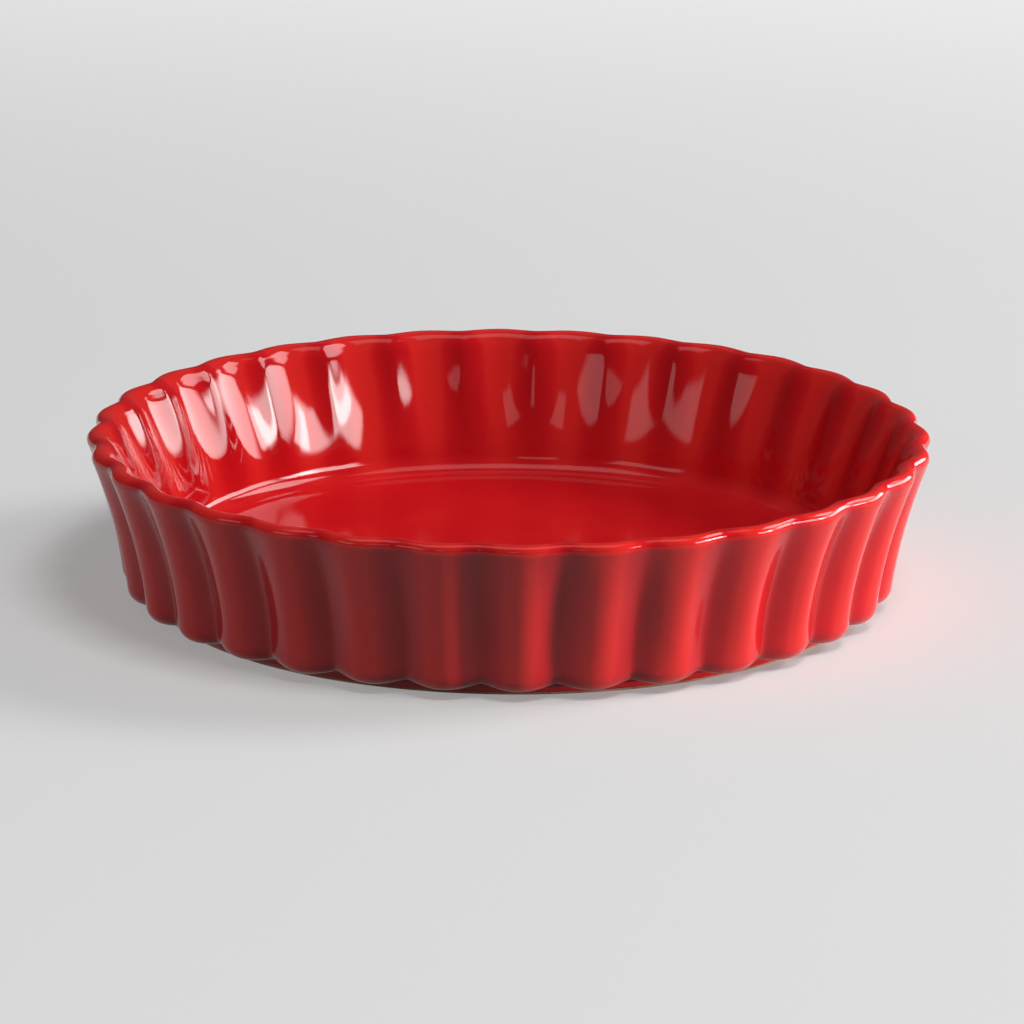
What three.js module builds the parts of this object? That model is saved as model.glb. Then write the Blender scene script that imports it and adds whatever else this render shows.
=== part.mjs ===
// A round fluted pie dish: one pressed and fired clay body with coloured glaze fused onto it.
// Millimetres, +Z up. The origin is on the table under the middle of the dish, and a flute's crest faces -Y.
import * as THREE from "three";

// Overall sizes, over the glaze
const RIM_DIAMETER = 280; // across opposite crests
const HEIGHT = 55; // table to rim

// Flutes
const FLUTE_COUNT = 32;
const RIM_FLUTE_DEPTH = 2.4; // crest to valley at the rim
const BASE_FLUTE_DEPTH = 4; // crest to valley where the wall turns under
const VALLEY_SHARPNESS = 0.8; // 0 is a plain wave, 1 is half-round flutes that meet in a crease
const FLUTE_END_RADIUS = 5; // rounding of each flute's lower end
const FLUTE_CLEARANCE = 3.2; // table to the flutes' lower ends
const VALLEY_LIFT = 1.8; // how much higher the valleys end than the crests
const VALLEY_LIFT_FADE = 18; // height over which that runs out up the wall
const INSIDE_FLUTE_START = 1; // height above the floor where the flutes begin on the inside
const INSIDE_FLUTE_FADE = 44; // height over which they then reach their full depth

// Clay body
const WALL_FLARE = 11.6; // the rim's radius is this much larger than the wall's foot
const WALL_BOW = 1.4; // how far the wall dips inside a straight line from its foot to the rim
const WALL_THICKNESS = 6.8;
const RIM_OUTSIDE_ROUND = 2.4; // rounding from the rim's top to the outside of the wall
const FLOOR_THICKNESS = 6.5;
const COVE_RADIUS = 7; // inside corner between floor and wall
const FOOT_INSET = 10.4; // from the wall's foot in to the outside of the foot ring
const FOOT_WIDTH = 7;
const FOOT_RECESS = 2.2; // hollow under the floor, inside the foot ring

// Glaze
const GLAZE_THICKNESS = 0.4;
const BARE_FOOT = 0.9; // height of the band that is wiped clean round the foot ring

// Fineness of the surfaces
const STEPS_PER_FLUTE = 4;
const FLUTE_END_STEPS = 3;
const WALL_STEPS = 4;
const RIM_STEPS = 4;
const COVE_STEPS = 4;

// Sizes of the clay that follow from the ones above
const rimRadius = RIM_DIAMETER / 2 - GLAZE_THICKNESS;
const rimTop = HEIGHT - GLAZE_THICKNESS;
const rimInsideRound = WALL_THICKNESS - RIM_OUTSIDE_ROUND;
const wallFootRadius = rimRadius - WALL_FLARE;
const wallFootHeight = FLUTE_CLEARANCE + FLUTE_END_RADIUS;
const wallTopHeight = rimTop - RIM_OUTSIDE_ROUND;
const insideTopHeight = rimTop - rimInsideRound;
const footRadius = wallFootRadius - FOOT_INSET;
const recessRadius = footRadius - FOOT_WIDTH;
const floorHeight = FOOT_RECESS + FLOOR_THICKNESS;
const coveTop = floorHeight + COVE_RADIUS;

const { lerp, smoothstep } = THREE.MathUtils;

// A point of an outline: its radius and height on a crest, and how far valleys are drawn in and lifted.
function point(radius, height, depth = 0, lift = 0) {
  return { radius, height, depth, lift };
}

// Share of the flute depth by which the wall is drawn in, from 0 on a crest to 1 in a valley.
function drawnIn(angle) {
  const wave = (1 - Math.cos(FLUTE_COUNT * angle)) / 2;
  const scallop = 1 - Math.abs(Math.cos((FLUTE_COUNT * angle) / 2));
  return lerp(wave, scallop, VALLEY_SHARPNESS);
}

// How far up the wall a height lies, from 0 at the wall's foot to 1 at the rim.
function shareOfWall(height) {
  return (height - wallFootHeight) / (wallTopHeight - wallFootHeight);
}

function fluteDepth(height) {
  return lerp(BASE_FLUTE_DEPTH, RIM_FLUTE_DEPTH, shareOfWall(height));
}

function valleyLift(height) {
  return VALLEY_LIFT * (1 - smoothstep(height, FLUTE_CLEARANCE, FLUTE_CLEARANCE + VALLEY_LIFT_FADE));
}

// The outside of the wall on a crest, a shallow hollow curve from the foot out to the rim.
function crestRadius(height) {
  const share = shareOfWall(height);
  return lerp(wallFootRadius, rimRadius, share) - 4 * WALL_BOW * share * (1 - share);
}

// The inside of the wall above the cove, on the ridges behind the valleys.
function ridgeRadius(height) {
  return crestRadius(height) - fluteDepth(height) - WALL_THICKNESS;
}

// A point of the inside, given on a ridge: the flutes are channels there, which run out above the floor.
function insidePoint(ridge, height) {
  const start = floorHeight + INSIDE_FLUTE_START;
  const depth = RIM_FLUTE_DEPTH * smoothstep(height, start, start + INSIDE_FLUTE_FADE);
  return point(ridge + depth, height, depth);
}

// Steps from 0 to 1, leaving out the 0.
function shares(count) {
  return Array.from({ length: count }, (_, i) => (i + 1) / count);
}

// The flutes' rounded lower ends: they grow out of the foot ring and reach full depth at the wall's foot.
function fluteEnds() {
  return [0, ...shares(FLUTE_END_STEPS)].map((share) => {
    const angle = (share * Math.PI) / 2;
    const radius = wallFootRadius - FLUTE_END_RADIUS * (1 - Math.sin(angle));
    const height = wallFootHeight - FLUTE_END_RADIUS * Math.cos(angle);
    const depth = (BASE_FLUTE_DEPTH * (radius - footRadius)) / FOOT_INSET;
    return point(radius, height, depth, valleyLift(height));
  });
}

function outsideWall() {
  return shares(WALL_STEPS).map((share) => {
    const height = lerp(wallFootHeight, wallTopHeight, share);
    return point(crestRadius(height), height, fluteDepth(height), valleyLift(height));
  });
}

// The rim follows the flutes and is rounded more widely on its inside.
function rim() {
  return shares(RIM_STEPS).map((share) => {
    const angle = share * Math.PI;
    const round = share > 0.5 ? rimInsideRound : RIM_OUTSIDE_ROUND;
    const radius = rimRadius - RIM_OUTSIDE_ROUND + round * Math.cos(angle);
    return point(radius, rimTop - round * (1 - Math.sin(angle)), RIM_FLUTE_DEPTH);
  });
}

function insideWall() {
  return shares(WALL_STEPS).map((share) => {
    const height = lerp(insideTopHeight, coveTop, share);
    return insidePoint(ridgeRadius(height), height);
  });
}

function cove() {
  return shares(COVE_STEPS).map((share) => {
    const angle = (share * Math.PI) / 2;
    const ridge = ridgeRadius(coveTop) - COVE_RADIUS * (1 - Math.cos(angle));
    return insidePoint(ridge, coveTop - COVE_RADIUS * Math.sin(angle));
  });
}

// The clay under the main glaze, from the wiped foot up the outside, over the rim and in to the middle.
const coatedClay = [
  point(footRadius, BARE_FOOT),
  point(footRadius, FLUTE_CLEARANCE),
  ...fluteEnds(),
  ...outsideWall(),
  ...rim(),
  ...insideWall(),
  ...cove(),
  point(0, floorHeight),
];

// The clay under the glaze of the base, from the middle out to the foot ring.
const coatedBase = [point(0, FOOT_RECESS), point(recessRadius, FOOT_RECESS)];

// The flat ring of bare clay that the dish stands on.
const bareFoot = [point(recessRadius, 0), point(footRadius, 0)];

// An outline moved outwards by a distance, square to itself.
function movedOut(outline, distance) {
  const normals = outline.slice(1).map((end, i) => {
    const start = outline[i];
    return new THREE.Vector2(end.height - start.height, start.radius - end.radius).normalize();
  });
  return outline.map(({ radius, height, depth, lift }, i) => {
    const before = normals[Math.max(i - 1, 0)];
    const after = normals[Math.min(i, normals.length - 1)];
    const move = before.clone().add(after).setLength(distance);
    return point(radius + move.x, height + move.y, depth, lift);
  });
}

// Splits the facets into triangles that mirror across each flute, and alike on faces that touch each other.
function facets(outline, columns) {
  const corners = [];
  for (let column = 0; column < columns; column++) {
    const towardsValley = column % STEPS_PER_FLUTE < STEPS_PER_FLUTE / 2;
    for (let row = 0; row < outline.length - 1; row++) {
      const a = column * outline.length + row;
      const b = a + outline.length;
      const c = b + 1;
      const d = a + 1;
      const climbing = outline[row].height < outline[row + 1].height;
      corners.push(...(climbing === towardsValley ? [a, b, c, a, c, d] : [a, b, d, b, c, d]));
    }
  }
  return corners;
}

// Turns an outline round the Z axis, and draws it in and lifts it at the valleys.
function turned(outline) {
  const profile = outline.map(({ radius, height }) => new THREE.Vector2(radius, height));
  const columns = FLUTE_COUNT * STEPS_PER_FLUTE;
  const geometry = new THREE.LatheGeometry(profile, columns);
  const position = geometry.getAttribute("position");
  for (let i = 0; i < position.count; i++) {
    const { radius, height, depth, lift } = outline[i % outline.length];
    const angle = (Math.floor(i / outline.length) / columns) * 2 * Math.PI;
    const share = drawnIn(angle);
    const distance = radius - depth * share;
    position.setXYZ(i, distance * Math.sin(angle), -distance * Math.cos(angle), height + lift * share);
  }
  geometry.setIndex(facets(outline, columns));
  geometry.computeVertexNormals();
  return geometry;
}

function piece(name, outline, material) {
  const mesh = new THREE.Mesh(turned(outline), material);
  mesh.name = name;
  return mesh;
}

const firedClay = new THREE.MeshStandardMaterial({ color: 0xb98f6c, roughness: 0.85, metalness: 0 });
const redGlaze = new THREE.MeshStandardMaterial({ color: 0xb8141c, roughness: 0.08, metalness: 0 });

const dish = new THREE.Group();
dish.add(
  piece("clay_body", [...coatedBase, ...bareFoot, ...coatedClay], firedClay),
  piece("glaze_coat", [...coatedClay.toReversed(), ...movedOut(coatedClay, GLAZE_THICKNESS)], redGlaze),
  piece("base_glaze", [...movedOut(coatedBase, GLAZE_THICKNESS), ...coatedBase.toReversed()], redGlaze),
);

export default dish;
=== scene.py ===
"""Looks of a round fluted pie dish: bare fired clay under a glossy red glaze, on a pale studio table."""
import math

import bpy
from mathutils import Matrix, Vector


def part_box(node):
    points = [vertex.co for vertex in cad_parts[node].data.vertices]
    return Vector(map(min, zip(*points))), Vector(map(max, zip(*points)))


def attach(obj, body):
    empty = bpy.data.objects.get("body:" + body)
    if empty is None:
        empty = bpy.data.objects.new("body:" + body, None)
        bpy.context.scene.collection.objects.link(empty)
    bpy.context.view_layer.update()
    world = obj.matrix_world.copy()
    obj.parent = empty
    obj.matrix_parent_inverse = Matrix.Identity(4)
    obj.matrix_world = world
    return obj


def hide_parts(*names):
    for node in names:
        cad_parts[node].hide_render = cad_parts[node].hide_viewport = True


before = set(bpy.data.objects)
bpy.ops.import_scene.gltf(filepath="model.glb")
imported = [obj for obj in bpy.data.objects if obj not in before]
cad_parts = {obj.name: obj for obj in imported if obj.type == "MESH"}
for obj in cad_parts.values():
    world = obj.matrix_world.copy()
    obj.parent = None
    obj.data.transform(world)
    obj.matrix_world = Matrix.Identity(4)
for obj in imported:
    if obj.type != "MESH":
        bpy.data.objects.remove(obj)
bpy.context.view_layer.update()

MM = 0.001

# Sizes of the dish, in metres, read from the solids
coat_low, coat_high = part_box("glaze_coat")
_, clay_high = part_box("clay_body")
_, base_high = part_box("base_glaze")
RIM_RADIUS = clay_high.x  # on a crest of the clay
RIM_TOP = clay_high.z
GLAZE_THICKNESS = coat_high.x - clay_high.x
BARE_FOOT = coat_low.z  # height of the wiped band round the foot ring
RECESS_RADIUS = base_high.x
RECESS_HEIGHT = base_high.z

# The dish's own sizes, as its maker sets them
FLUTES = 32
RIM_FLUTE_DEPTH = 2.4 * MM
BASE_FLUTE_DEPTH = 4.0 * MM
FLUTE_END_SHARPNESS = 0.95  # 0 is a plain wave, 1 is half-round flutes that meet in a crease
OUTSIDE_SHARPNESS = 0.35
FLUTE_SWELL = 1.3 * MM  # how much deeper the flutes are outside at half height
INSIDE_SHARPNESS = 0.7
SHARPNESS_FADE = 16.0 * MM  # height over which the flutes' ends soften into the wall
CREASE_SOFTNESS = 0.09  # how far the glaze fills the crease between two flutes
FLUTE_END_RADIUS = 5.0 * MM
FLUTE_CLEARANCE = 3.2 * MM
VALLEY_LIFT = 1.8 * MM  # how much higher the valleys end than the crests
VALLEY_LIFT_FADE = 18.0 * MM
INSIDE_FLUTE_START = 1.0 * MM
INSIDE_FLUTE_FADE = 44.0 * MM
WALL_FLARE = 11.6 * MM
WALL_BOW = 1.4 * MM
INSIDE_BOW = 0.4 * MM  # how much more the inside is bowed than the outside
WALL_THICKNESS = 6.8 * MM
RIM_OUTSIDE_ROUND = 2.4 * MM
FLOOR_THICKNESS = 6.5 * MM
COVE_RADIUS = 7.0 * MM
FOOT_INSET = 10.4 * MM
FOOT_EDGE = 0.5 * MM  # softened edges of the bare foot ring
FOOT_EDGE_MIDDLE = 0.3 * FOOT_EDGE  # how far in the middle of a softened edge lies
BASE_GLAZE_EDGE = 0.9 * GLAZE_THICKNESS  # thickness of the base glaze where it meets the foot ring

# Fineness of the surfaces
STEPS_PER_FLUTE = 12
VALLEY_FINENESS = 0.4  # how much finer those steps are in the valleys than on average
CURVE_STEPS = 60  # steps along each curve of the outline, before they are spaced evenly
SPACING = 1.0 * MM
SHORTEST_STEP = 1e-12  # stands for no length at all, where two curves meet in one point
LEAN_STEP = 0.1 * MM  # height above and below between which a wall's lean is measured
FLOOR_RINGS = 8

RIM_INSIDE_ROUND = WALL_THICKNESS - RIM_OUTSIDE_ROUND
WALL_TOP = RIM_TOP - RIM_OUTSIDE_ROUND
INSIDE_TOP = RIM_TOP - RIM_INSIDE_ROUND
WALL_FOOT_RADIUS = RIM_RADIUS - WALL_FLARE
WALL_FOOT = FLUTE_CLEARANCE + FLUTE_END_RADIUS
FOOT_RADIUS = WALL_FOOT_RADIUS - FOOT_INSET
FLOOR_HEIGHT = RECESS_HEIGHT + FLOOR_THICKNESS
COVE_TOP = FLOOR_HEIGHT + COVE_RADIUS


def lerp(start, end, share):
    return start + (end - start) * share


def smoothstep(value, low, high):
    share = min(max((value - low) / (high - low), 0.0), 1.0)
    return share * share * (3 - 2 * share)


def share_of_wall(height):
    return (height - WALL_FOOT) / (WALL_TOP - WALL_FOOT)


def bow(size, height):
    """A curve that reaches its size at half the wall's height and is 0 at its foot and top."""
    share = share_of_wall(height)
    return 4 * size * share * (1 - share)


def flute_depth(height):
    return lerp(BASE_FLUTE_DEPTH, RIM_FLUTE_DEPTH, share_of_wall(height))


def outside_depth(height):
    return flute_depth(height) + bow(FLUTE_SWELL, height)


def valley_lift(height):
    return VALLEY_LIFT * (1 - smoothstep(height, FLUTE_CLEARANCE, FLUTE_CLEARANCE + VALLEY_LIFT_FADE))


def crest_radius(height):
    """Outside of the wall on a crest: a shallow hollow curve from the foot out to the rim."""
    return lerp(WALL_FOOT_RADIUS, RIM_RADIUS, share_of_wall(height)) - bow(WALL_BOW, height)


def ridge_radius(height):
    """Inside of the wall on the ridges behind the valleys."""
    return crest_radius(height) - flute_depth(height) - WALL_THICKNESS - bow(INSIDE_BOW, height)


def lean(radius_at, height):
    """How far a wall leans out from upright at a height, in radians."""
    return math.atan2(radius_at(height + LEAN_STEP) - radius_at(height - LEAN_STEP), 2 * LEAN_STEP)


def outside_sharpness(height):
    fade = smoothstep(height, FLUTE_CLEARANCE, FLUTE_CLEARANCE + SHARPNESS_FADE)
    return lerp(FLUTE_END_SHARPNESS, OUTSIDE_SHARPNESS, fade)


def drawn_in(angle, sharpness):
    """Share of the flute depth by which the wall is drawn in: 0 on a crest, 1 in a valley."""
    wave = (1 - math.cos(FLUTES * angle)) / 2
    crease = CREASE_SOFTNESS / math.hypot(1, CREASE_SOFTNESS)
    lobe = math.hypot(math.cos(FLUTES * angle / 2), CREASE_SOFTNESS) / math.hypot(1, CREASE_SOFTNESS)
    return lerp(wave, (1 - lobe) / (1 - crease), sharpness)


def between(count):
    """Even steps from 0 to 1."""
    return [i / count for i in range(count + 1)]


def plain(radius, height):
    """A point of an outline where there are no flutes. Each point has its radius and height on a crest, how
    far the valleys are drawn in and lifted there, and how sharp they are."""
    return radius, height, 0.0, 0.0, 0.0


def inside_point(ridge, height):
    """A point of the inside, given on a ridge: the flutes are channels that fade out above the floor."""
    start = FLOOR_HEIGHT + INSIDE_FLUTE_START
    depth = RIM_FLUTE_DEPTH * smoothstep(height, start, start + INSIDE_FLUTE_FADE)
    return ridge + depth, height, depth, 0.0, INSIDE_SHARPNESS


def flute_end(share):
    """The rounded lower ends of the flutes, which grow out of the foot ring."""
    angle = share * math.pi / 2
    radius = WALL_FOOT_RADIUS - FLUTE_END_RADIUS * (1 - math.sin(angle))
    height = WALL_FOOT - FLUTE_END_RADIUS * math.cos(angle)
    depth = BASE_FLUTE_DEPTH * (radius - FOOT_RADIUS) / FOOT_INSET
    return radius, height, depth, valley_lift(height), outside_sharpness(height)


def outside_wall(share):
    height = lerp(WALL_FOOT, WALL_TOP - RIM_OUTSIDE_ROUND * math.sin(lean(crest_radius, WALL_TOP)), share)
    return crest_radius(height), height, outside_depth(height), valley_lift(height), outside_sharpness(height)


def rim(share):
    """The rim runs on from both faces of the wall and is rounded more widely on its inside."""
    angle = lerp(-lean(crest_radius, WALL_TOP), math.pi - lean(crest_radius, INSIDE_TOP), share)
    rounding = RIM_INSIDE_ROUND if angle > math.pi / 2 else RIM_OUTSIDE_ROUND
    radius = RIM_RADIUS - RIM_OUTSIDE_ROUND + rounding * math.cos(angle)
    sharpness = lerp(OUTSIDE_SHARPNESS, INSIDE_SHARPNESS, share)
    return radius, RIM_TOP - rounding * (1 - math.sin(angle)), RIM_FLUTE_DEPTH, 0.0, sharpness


def inside_wall(share):
    height = lerp(INSIDE_TOP, COVE_TOP - COVE_RADIUS * math.sin(lean(ridge_radius, COVE_TOP)), share)
    return inside_point(ridge_radius(height), height)


def cove(share):
    """The rounded corner from the inside wall down to the floor."""
    start = lean(ridge_radius, COVE_TOP)
    angle = lerp(start, math.pi / 2, share)
    foot = ridge_radius(COVE_TOP - COVE_RADIUS * math.sin(start)) - COVE_RADIUS * math.cos(start)
    return inside_point(foot + COVE_RADIUS * math.cos(angle), COVE_TOP - COVE_RADIUS * math.sin(angle))


def evenly_spaced(outline, spacing):
    """The same outline with points at one even spacing."""
    lengths = [0.0]
    for a, b in zip(outline, outline[1:]):
        lengths.append(lengths[-1] + math.hypot(b[0] - a[0], b[1] - a[1]))
    count = max(round(lengths[-1] / spacing), 1)
    spaced = []
    j = 0
    for share in between(count):
        target = share * lengths[-1]
        while j < len(lengths) - 2 and lengths[j + 1] < target:
            j += 1
        part = (target - lengths[j]) / max(lengths[j + 1] - lengths[j], SHORTEST_STEP)
        spaced.append(tuple(lerp(a, b, part) for a, b in zip(outline[j], outline[j + 1])))
    return spaced


def eased(outline):
    """Softens the joins of an outline as a flowing glaze does, with both ends kept."""
    middle = [
        tuple((a + 2 * b + c) / 4 for a, b, c in zip(*three))
        for three in zip(outline, outline[1:], outline[2:])
    ]
    return [outline[0], *middle, outline[-1]]


def coated_clay():
    """The clay under the main glaze: from the wiped foot up the outside, over the rim, in to the middle."""
    outline = [plain(FOOT_RADIUS, BARE_FOOT), plain(FOOT_RADIUS, FLUTE_CLEARANCE)]
    for curve in (flute_end, outside_wall, rim, inside_wall, cove):
        outline += [curve(share) for share in between(CURVE_STEPS)]
    outline = eased(evenly_spaced(outline, SPACING))
    floor_edge = outline[-1][0]
    floor = [plain(floor_edge * (1 - share), FLOOR_HEIGHT) for share in between(FLOOR_RINGS)[1:]]
    return outline + floor


def moved_out(outline, distance):
    """An outline moved out square to itself."""
    normals = []
    for a, b in zip(outline, outline[1:]):
        length = math.hypot(b[0] - a[0], b[1] - a[1])
        normals.append(((b[1] - a[1]) / length, (a[0] - b[0]) / length))
    moved = []
    for i, (radius, height, *flute) in enumerate(outline):
        before, after = normals[max(i - 1, 0)], normals[min(i, len(normals) - 1)]
        across, up = before[0] + after[0], before[1] + after[1]
        size = distance / math.hypot(across, up)
        moved.append((radius + across * size, height + up * size, *flute))
    return moved


def placed(name, data):
    """A new object in the scene."""
    made = bpy.data.objects.new(name, data)
    bpy.context.collection.objects.link(made)
    return made


def turned(name, outline, material):
    """A closed piece made by turning an outline round the dish's axis, drawn in and lifted at the valleys.
    The outline starts and ends on the axis."""
    columns = FLUTES * STEPS_PER_FLUTE
    rings = outline[1:-1]
    vertices = [(0.0, 0.0, outline[0][1]), (0.0, 0.0, outline[-1][1])]
    first = len(vertices)
    for radius, height, depth, lift, sharpness in rings:
        for column in range(columns):
            angle = column / columns * math.tau
            angle += VALLEY_FINENESS * math.sin(FLUTES * angle) / FLUTES
            share = drawn_in(angle, sharpness)
            distance = radius - depth * share
            vertices.append((distance * math.sin(angle), -distance * math.cos(angle), height + lift * share))
    last = first + (len(rings) - 1) * columns
    faces = []
    for column in range(columns):
        turn = (column + 1) % columns
        faces.append((0, first + turn, first + column))
        faces.append((1, last + column, last + turn))
        for here in range(first, last, columns):
            above = here + columns
            faces.append((here + column, here + turn, above + turn, above + column))
    mesh = bpy.data.meshes.new(name)
    mesh.from_pydata(vertices, [], faces)
    mesh.validate()
    mesh.shade_smooth()
    mesh.materials.append(material)
    return placed(name, mesh)


# Nodes
MIX_FACTOR, MIX_FIRST, MIX_SECOND, MIX_RESULT = 0, 6, 7, 2  # sockets of a Mix node that mixes colours


def add_node(tree, kind, place, **inputs):
    """A node at a place in the tree; an input's underscores stand for the spaces of its socket's name."""
    made = tree.nodes.new(kind)
    made.location = place
    for socket, value in inputs.items():
        made.inputs[socket.replace("_", " ")].default_value = value
    return made


def math_node(tree, operation, place, *values):
    """The result of an operation on sockets and numbers."""
    made = add_node(tree, "ShaderNodeMath", place)
    made.operation = operation
    for socket, value in zip(made.inputs, values):
        if isinstance(value, (int, float)):
            socket.default_value = value
        else:
            tree.links.new(value, socket)
    return made.outputs[0]


def ramp_node(tree, place, factor, stops):
    """A colour ramp through the given stops of (position, colour)."""
    made = add_node(tree, "ShaderNodeValToRGB", place)
    elements = made.color_ramp.elements
    for element, (position, colour) in zip(elements, (stops[0], stops[-1])):
        element.position, element.color = position, (*colour, 1)
    for position, colour in stops[1:-1]:
        elements.new(position).color = (*colour, 1)
    tree.links.new(factor, made.inputs["Fac"])
    return made.outputs["Color"]


def mask_node(tree, place, value, low, high):
    """A soft mask that rises from 0 to 1 between two values."""
    made = add_node(tree, "ShaderNodeMapRange", place, From_Min=low, From_Max=high)
    made.interpolation_type = "SMOOTHSTEP"
    tree.links.new(value, made.inputs["Value"])
    return made.outputs["Result"]


def mixed(tree, place, mask, colour, marked):
    """A socket's colour with a fixed one mixed in by a mask."""
    made = add_node(tree, "ShaderNodeMix", place)
    made.data_type = "RGBA"
    tree.links.new(mask, made.inputs[MIX_FACTOR])
    tree.links.new(colour, made.inputs[MIX_FIRST])
    made.inputs[MIX_SECOND].default_value = (*marked, 1)
    return made.outputs[MIX_RESULT]


def bump(tree, place, height, distance, normal=None):
    """The shading of a surface that rises by a distance where a socket's value does."""
    made = add_node(tree, "ShaderNodeBump", place, Distance=distance, Strength=1.0)
    tree.links.new(height, made.inputs["Height"])
    if normal is not None:
        tree.links.new(normal, made.inputs["Normal"])
    return made.outputs["Normal"]


# Marks of the firing, in clay and glaze alike
NOISE_ROUGHNESS = 0.55
SPECK_LIMITS = (0.70, 0.78)  # noise at the edge of a speck and well inside it


def firing_marks_group():
    """What the kiln leaves in clay and glaze alike: cloudy mottling, small specks and a fine grain."""
    group = bpy.data.node_groups.new("firing_marks", "ShaderNodeTree")
    group.interface.new_socket("Position", in_out="INPUT", socket_type="NodeSocketVector")
    for name in ("Cloud Scale", "Speck Scale", "Grain Scale"):
        group.interface.new_socket(name, in_out="INPUT", socket_type="NodeSocketFloat")
    for name in ("Clouds", "Specks", "Grain"):
        group.interface.new_socket(name, in_out="OUTPUT", socket_type="NodeSocketFloat")
    given = add_node(group, "NodeGroupInput", (-700, 0))
    result = add_node(group, "NodeGroupOutput", (300, 0))

    def noise(place, scale, detail):
        made = add_node(group, "ShaderNodeTexNoise", place, Detail=detail, Roughness=NOISE_ROUGHNESS)
        group.links.new(given.outputs["Position"], made.inputs["Vector"])
        group.links.new(given.outputs[scale], made.inputs["Scale"])
        return made.outputs["Fac"]

    clouds = noise((-450, 250), "Cloud Scale", detail=3.0)
    specks = noise((-450, 0), "Speck Scale", detail=1.0)
    grain = noise((-450, -250), "Grain Scale", detail=2.0)
    group.links.new(clouds, result.inputs["Clouds"])
    group.links.new(mask_node(group, (-150, 0), specks, *SPECK_LIMITS), result.inputs["Specks"])
    group.links.new(grain, result.inputs["Grain"])
    return group


def place_marks(tree, group, cloud_scale, speck_scale, grain_scale):
    """Puts the firing marks into a material at its own scales."""
    place = add_node(tree, "ShaderNodeTexCoord", (-1500, 0)).outputs["Object"]
    marks = add_node(tree, "ShaderNodeGroup", (-1250, -300))
    marks.node_tree = group
    marks.inputs["Cloud Scale"].default_value = cloud_scale
    marks.inputs["Speck Scale"].default_value = speck_scale
    marks.inputs["Grain Scale"].default_value = grain_scale
    tree.links.new(place, marks.inputs["Position"])
    return place, marks.outputs


def new_material(name, roughness, ior):
    """A material with its node tree and shader. The roughness is for viewers that don't read its nodes."""
    material = bpy.data.materials.new(name)
    material.use_nodes = True
    tree = material.node_tree
    shader = tree.nodes["Principled BSDF"]
    shader.inputs["Roughness"].default_value = roughness
    shader.inputs["IOR"].default_value = ior
    return material, tree, shader


# Red glaze
# Darkest, middle and palest glaze colours: the dark end is painted shade in the valleys, the pale end a
# painted highlight on the crests and the rim, and the mottling runs across them too
GLAZE_DEEP_AND_SHADED = (0.40, 0.0042, 0.0075)
GLAZE_EVEN = (0.56, 0.0080, 0.0120)
GLAZE_PALE_AND_LIT = (0.66, 0.0190, 0.0170)
GLAZE_STOPS = [(0.15, GLAZE_DEEP_AND_SHADED), (0.72, GLAZE_EVEN), (1.0, GLAZE_PALE_AND_LIT)]
GLAZE_SPECK = (0.20, 0.0040, 0.0050)
SPECK_STRENGTH = 0.15
FLUTED_RADII = (112.0 * MM, 126.0 * MM)  # where the flutes' painted light begins and where it is full
UNFLUTED_PAINTED_LIGHT = 0.5  # painted light where there are no flutes; 0 is a valley's painted shade and 1 a crest's painted highlight
CLOUD_STRENGTH = 0.5  # how much the mottling changes the colour
RIM_BAND = 4.5 * MM  # height below the rim's top over which the rim's painted highlight rises
# how far the rim's painted highlight moves the glaze towards its palest colour
RIM_HIGHLIGHT = 0.35
GLOSS_LEVEL = 0.3  # strength of the reflections, where plain glass has 0.5
SHEEN_LIMITS = (0.2, 0.8)  # mottling at the glossiest and at the dullest places
GLOSSIEST = 0.035  # roughness
DULLING = 0.03  # how much rougher the dullest places are
WAVINESS = 0.10 * MM
PEEL = 0.008 * MM  # fine unevenness of the glaze's surface


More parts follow.
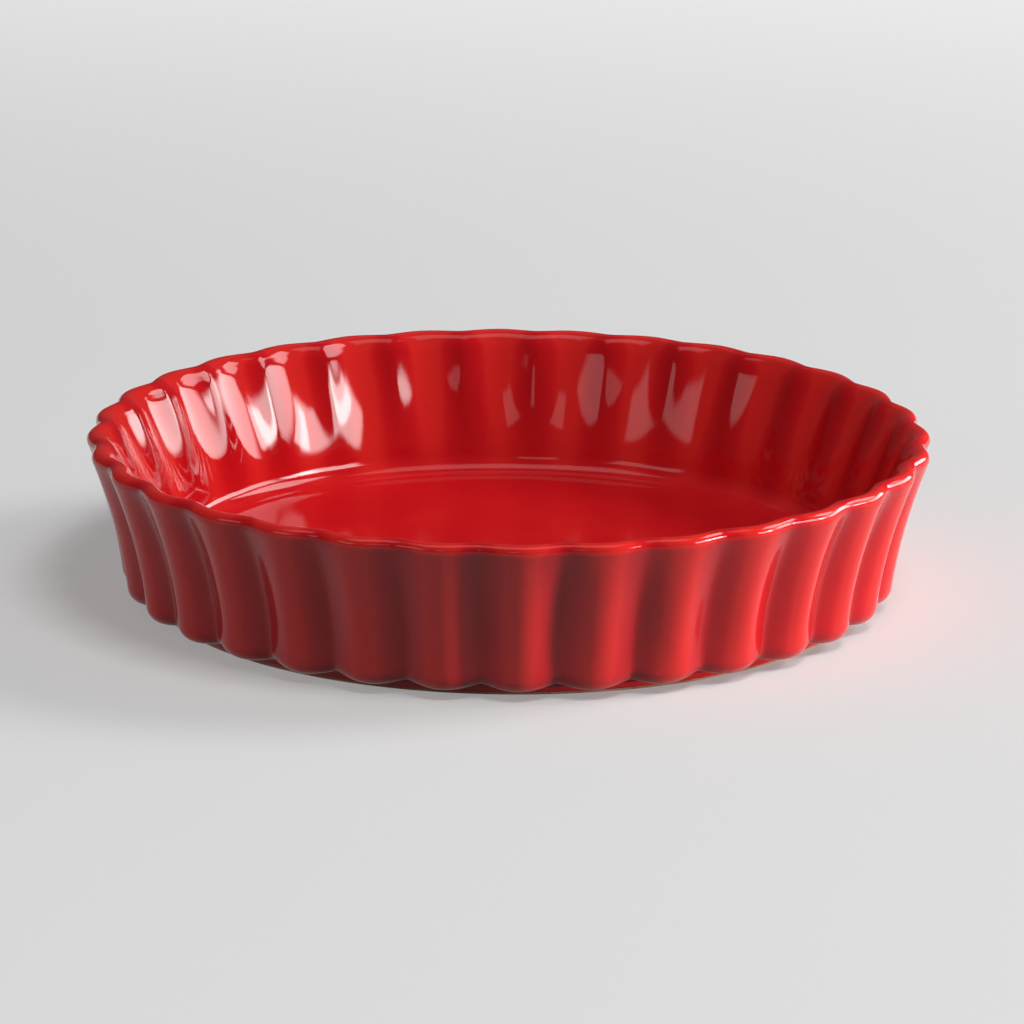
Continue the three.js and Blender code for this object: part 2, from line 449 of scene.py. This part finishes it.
def red_glaze_material(marks_group):
    """Glossy red glaze, with painted shade in the valleys and a painted highlight on the crests and the rim.
    """
    material, tree, shader = new_material("red_glaze", roughness=0.05, ior=1.5)
    shader.inputs["Specular IOR Level"].default_value = GLOSS_LEVEL
    place, marks = place_marks(tree, marks_group, cloud_scale=22.0, speck_scale=420.0, grain_scale=260.0)
    axes = add_node(tree, "ShaderNodeSeparateXYZ", (-1250, 300))
    tree.links.new(place, axes.inputs[0])
    x, y, z = axes.outputs
    across = math_node(tree, "MULTIPLY", (-1050, 500), x, x)
    along = math_node(tree, "MULTIPLY", (-1050, 350), y, y)
    squared = math_node(tree, "ADD", (-900, 420), across, along)
    radius = math_node(tree, "SQRT", (-750, 420), squared)
    angle = math_node(tree, "ARCTAN2", (-1050, 200), x, y)
    phase = math_node(tree, "MULTIPLY", (-900, 200), angle, FLUTES)
    wave = math_node(tree, "COSINE", (-750, 200), phase)
    # Painted light on the flutes: a painted highlight on each crest, painted shade in each valley
    crest = math_node(tree, "MULTIPLY_ADD", (-600, 200), wave, 0.5, 0.5)
    fluted = mask_node(tree, (-600, 420), radius, *FLUTED_RADII)
    on_flutes = math_node(tree, "MULTIPLY", (-420, 300), crest, fluted)
    off_flutes = math_node(tree, "SUBTRACT", (-420, 450), 1.0, fluted)
    painted_light = math_node(tree, "MULTIPLY_ADD", (-100, 350), off_flutes, UNFLUTED_PAINTED_LIGHT, on_flutes)
    cloudy = math_node(tree, "MULTIPLY_ADD", (60, 350), marks["Clouds"], CLOUD_STRENGTH, painted_light)
    # A painted highlight along the top of the rim
    rim_band = mask_node(tree, (-600, 20), z, RIM_TOP - RIM_BAND, RIM_TOP)
    with_rim_highlight = math_node(tree, "MULTIPLY_ADD", (220, 350), rim_band, RIM_HIGHLIGHT, cloudy)
    colour = ramp_node(tree, (380, 350), with_rim_highlight, GLAZE_STOPS)
    speck = math_node(tree, "MULTIPLY", (380, 120), marks["Specks"], SPECK_STRENGTH)
    tree.links.new(mixed(tree, (660, 300), speck, colour, GLAZE_SPECK), shader.inputs["Base Color"])
    sheen = mask_node(tree, (380, -80), marks["Clouds"], *SHEEN_LIMITS)
    polish = math_node(tree, "MULTIPLY_ADD", (560, -80), sheen, DULLING, GLOSSIEST)
    tree.links.new(polish, shader.inputs["Roughness"])
    waves = bump(tree, (380, -300), marks["Clouds"], WAVINESS)
    tree.links.new(bump(tree, (560, -300), marks["Grain"], PEEL, waves), shader.inputs["Normal"])
    return material


# Bare clay
CLAY_DARK = (0.30, 0.155, 0.085)
CLAY_PALE = (0.55, 0.34, 0.205)
CLAY_STOPS = [(0.3, CLAY_DARK), (0.7, CLAY_PALE)]
CLAY_SPECK = (0.12, 0.07, 0.045)
SMOOTHEST_CLAY = 0.68  # roughness
CLAY_DRYNESS = 0.25  # how much rougher its coarsest grain is
CLAY_GRAIN = 0.12 * MM


def fired_clay_material(marks_group):
    """Bare fired clay of the wiped foot ring: dry, sandy and speckled."""
    material, tree, shader = new_material("fired_clay", roughness=0.85, ior=1.45)
    _, marks = place_marks(tree, marks_group, cloud_scale=90.0, speck_scale=900.0, grain_scale=1600.0)
    clay = ramp_node(tree, (-700, 200), marks["Clouds"], CLAY_STOPS)
    speckled = mixed(tree, (-350, 200), marks["Specks"], clay, CLAY_SPECK)
    tree.links.new(speckled, shader.inputs["Base Color"])
    dryness = math_node(tree, "MULTIPLY_ADD", (-350, -50), marks["Grain"], CLAY_DRYNESS, SMOOTHEST_CLAY)
    tree.links.new(dryness, shader.inputs["Roughness"])
    tree.links.new(bump(tree, (-350, -300), marks["Grain"], CLAY_GRAIN), shader.inputs["Normal"])
    return material


# The three pieces
marks_group = firing_marks_group()
red_glaze = red_glaze_material(marks_group)
fired_clay = fired_clay_material(marks_group)

clay_face = coated_clay()
glaze_face = moved_out(clay_face, GLAZE_THICKNESS)
glaze_coat = turned("glaze_coat_fine", [*reversed(clay_face), *glaze_face], red_glaze)

recess_ceiling = [plain(0.0, RECESS_HEIGHT), plain(RECESS_RADIUS, RECESS_HEIGHT)]
foot_sole = [
    plain(RECESS_RADIUS, FOOT_EDGE),
    plain(RECESS_RADIUS + FOOT_EDGE_MIDDLE, FOOT_EDGE_MIDDLE),
    plain(RECESS_RADIUS + FOOT_EDGE, 0.0),
    plain(FOOT_RADIUS - FOOT_EDGE, 0.0),
    plain(FOOT_RADIUS - FOOT_EDGE_MIDDLE, FOOT_EDGE_MIDDLE),
    plain(FOOT_RADIUS, FOOT_EDGE),
]
clay_body = turned("clay_body_fine", [*recess_ceiling, *foot_sole, *clay_face], fired_clay)

base_glaze = turned("base_glaze_fine", [
    plain(0.0, RECESS_HEIGHT - GLAZE_THICKNESS),
    plain(RECESS_RADIUS / 2, RECESS_HEIGHT - GLAZE_THICKNESS),
    plain(RECESS_RADIUS - GLAZE_THICKNESS, RECESS_HEIGHT - GLAZE_THICKNESS),
    plain(RECESS_RADIUS, RECESS_HEIGHT - BASE_GLAZE_EDGE),
    *reversed(recess_ceiling),
], red_glaze)

for piece, node, slot in ((clay_body, "clay_body", "fired_clay"), (glaze_coat, "glaze_coat", "red_glaze"),
                          (base_glaze, "base_glaze", "red_glaze")):
    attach(piece, "root")
    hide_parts(node)


# Studio table, lamps and camera
TABLE_REACH = 12.0  # from its middle to each edge
TABLE_GREY = (0.20, 0.20, 0.20)
TABLE_PALE = (0.46, 0.46, 0.46)
TABLE_GLOW = 0.27  # 1 is white
ROOM_GREY = (0.07, 0.07, 0.07)
SOFTBOX_FADE = 0.14  # 0.25 fades from the middle, near 0 only at the very edge
BACKDROP_SPREAD = 100  # degrees

CAMERA_AZIMUTH = -1.76  # degrees, counted from the front round to the right
CAMERA_ELEVATION = 15.11  # degrees, seen from the middle of the rim
CAMERA_DISTANCE = 2.265
CAMERA_FOCAL = 6838.0  # pixels of a square frame
CAMERA_ROLL = 0.0083  # radians
NEAREST_SEEN = 0.05
FARTHEST_SEEN = 100.0
FRAME_WIDTH = 1024  # pixels
RIM_MIDDLE = (508.65, 430.67)  # where the middle of the rim lies in that frame


def table_material():
    """A grey table that is seen, and mirrored in the glaze, as a pale one with the dish's shadow on it."""
    material = bpy.data.materials.new("pale_table")
    material.use_nodes = True
    tree = material.node_tree
    tree.nodes.clear()
    ray = add_node(tree, "ShaderNodeLightPath", (-800, 300)).outputs
    seen = math_node(tree, "MAXIMUM", (-400, 300), ray["Is Camera Ray"], ray["Is Glossy Ray"])
    grey = add_node(tree, "ShaderNodeBsdfDiffuse", (-400, 100), Color=(*TABLE_GREY, 1))
    pale = add_node(tree, "ShaderNodeBsdfDiffuse", (-600, -50), Color=(*TABLE_PALE, 1))
    glow = add_node(tree, "ShaderNodeEmission", (-600, -200), Strength=TABLE_GLOW)
    lit = add_node(tree, "ShaderNodeAddShader", (-400, -100))
    tree.links.new(pale.outputs[0], lit.inputs[0])
    tree.links.new(glow.outputs[0], lit.inputs[1])
    mix = add_node(tree, "ShaderNodeMixShader", (-200, 100))
    for source, socket in zip((seen, grey.outputs[0], lit.outputs[0]), mix.inputs):
        tree.links.new(source, socket)
    surface = add_node(tree, "ShaderNodeOutputMaterial", (0, 100)).inputs["Surface"]
    tree.links.new(mix.outputs[0], surface)
    return material


def table(reach):
    mesh = bpy.data.meshes.new("studio_table")
    corners = [(-reach, -reach, 0), (reach, -reach, 0), (reach, reach, 0), (-reach, reach, 0)]
    mesh.from_pydata(corners, [], [(0, 1, 2, 3)])
    mesh.materials.append(table_material())
    placed("studio_table", mesh)


def raised(height):
    return Matrix.Translation((0, 0, height))


def rotated(angle, axis):
    return Matrix.Rotation(angle, 4, axis)


def facing(azimuth, elevation):
    """Looks back at the dish from a side, in degrees; azimuth runs from the front round to the right."""
    return rotated(math.radians(azimuth), "Z") @ rotated(math.radians(90 - elevation), "X")


def area_lamp(name, width, height, radiance):
    """A flat lamp that faces down, as bright all over as its radiance says."""
    lamp = bpy.data.lights.new(name, "AREA")
    lamp.shape = "RECTANGLE"
    lamp.size, lamp.size_y = width, height
    lamp.energy = radiance * math.pi * width * height
    return placed(name, lamp)


def softbox(name, azimuth, elevation, distance, width, height, radiance, lights=True, mirrored=True):
    """A lamp facing the dish that fades out at its edges. It lights surfaces, is mirrored in the glaze, or
    does both."""
    made = area_lamp(name, width, height, radiance)
    made.data.use_nodes = True
    tree = made.data.node_tree
    across = add_node(tree, "ShaderNodeNewGeometry", (-1000, 0)).outputs["Parametric"]
    place = add_node(tree, "ShaderNodeSeparateXYZ", (-800, 0))
    tree.links.new(across, place.inputs[0])
    fades = []
    for socket in place.outputs[:2]:
        rest = math_node(tree, "SUBTRACT", (-600, 0), 1.0, socket)
        inwards = math_node(tree, "MULTIPLY", (-400, 0), socket, rest)
        fades.append(mask_node(tree, (-200, 0), inwards, 0.0, SOFTBOX_FADE))
    tree.links.new(math_node(tree, "MULTIPLY", (0, 0), *fades), tree.nodes["Emission"].inputs["Strength"])
    made.matrix_world = raised(RIM_TOP / 2) @ facing(azimuth, elevation) @ raised(distance)
    made.visible_diffuse, made.visible_glossy = lights, mirrored


def backdrop_lamp(behind, above, width, depth, radiance):
    """A lamp that faces down on the table behind the dish."""
    made = area_lamp("backdrop_lamp", width, depth, radiance)
    made.data.spread = math.radians(BACKDROP_SPREAD)
    made.location = (0, behind, above)


def photo_camera():
    camera = bpy.data.cameras.new("photo_camera")
    camera.lens = camera.sensor_width * CAMERA_FOCAL / FRAME_WIDTH
    camera.clip_start, camera.clip_end = NEAREST_SEEN, FARTHEST_SEEN
    made = placed("photo_camera", camera)
    aside = math.atan((RIM_MIDDLE[0] - FRAME_WIDTH / 2) / CAMERA_FOCAL)
    below = math.atan((FRAME_WIDTH / 2 - RIM_MIDDLE[1]) / CAMERA_FOCAL)
    stand = raised(coat_high.z) @ facing(CAMERA_AZIMUTH, CAMERA_ELEVATION) @ raised(CAMERA_DISTANCE)
    made.matrix_world = stand @ rotated(aside, "Y") @ rotated(-below, "X") @ rotated(CAMERA_ROLL, "Z")
    bpy.context.scene.camera = made


table(TABLE_REACH)
# Each softbox has its azimuth, elevation, distance, width, height and radiance.
# The key and fill lamps are low strips below the rim's height, which light the outside and not the inside.
softbox("key_lamp", 80, 0, 1.8, 0.36, 0.05, 830.0, mirrored=False)
softbox("fill_lamp", -86, 0, 1.8, 0.9, 0.05, 34.0, mirrored=False)
softbox("top_lamp", 100, 32, 2.6, 1.08, 0.86, 21.0, mirrored=False)
softbox("key_window", 110, 18, 0.85, 0.76, 0.30, 11.0, lights=False)
softbox("side_window", 77, 19, 0.95, 0.28, 0.24, 20.0, lights=False)
softbox("key_window_side", 66, 19.5, 0.95, 0.46, 0.30, 14.0, lights=False)
softbox("key_window_top", 108, 43, 0.95, 0.50, 0.42, 8.0, lights=False)
softbox("front_window", -12, 27, 1.3, 0.30, 0.30, 1.4)
softbox("front_panel", 36, 62, 2.4, 1.2, 0.8, 14.0, mirrored=False)
softbox("left_reflector", -52, 25, 1.2, 0.6, 0.4, 1.9)
softbox("ceiling_panel", 0, 84, 1.2, 1.4, 0.75, 1.7, lights=False)
backdrop_lamp(behind=1.6, above=1.0, width=2.4, depth=1.2, radiance=1.0)
photo_camera()

world = bpy.data.worlds.new("studio_room")
world.use_nodes = True
world.node_tree.nodes["Background"].inputs["Color"].default_value = (*ROOM_GREY, 1)
bpy.context.scene.world = world
bpy.context.scene.view_settings.view_transform = "Standard"
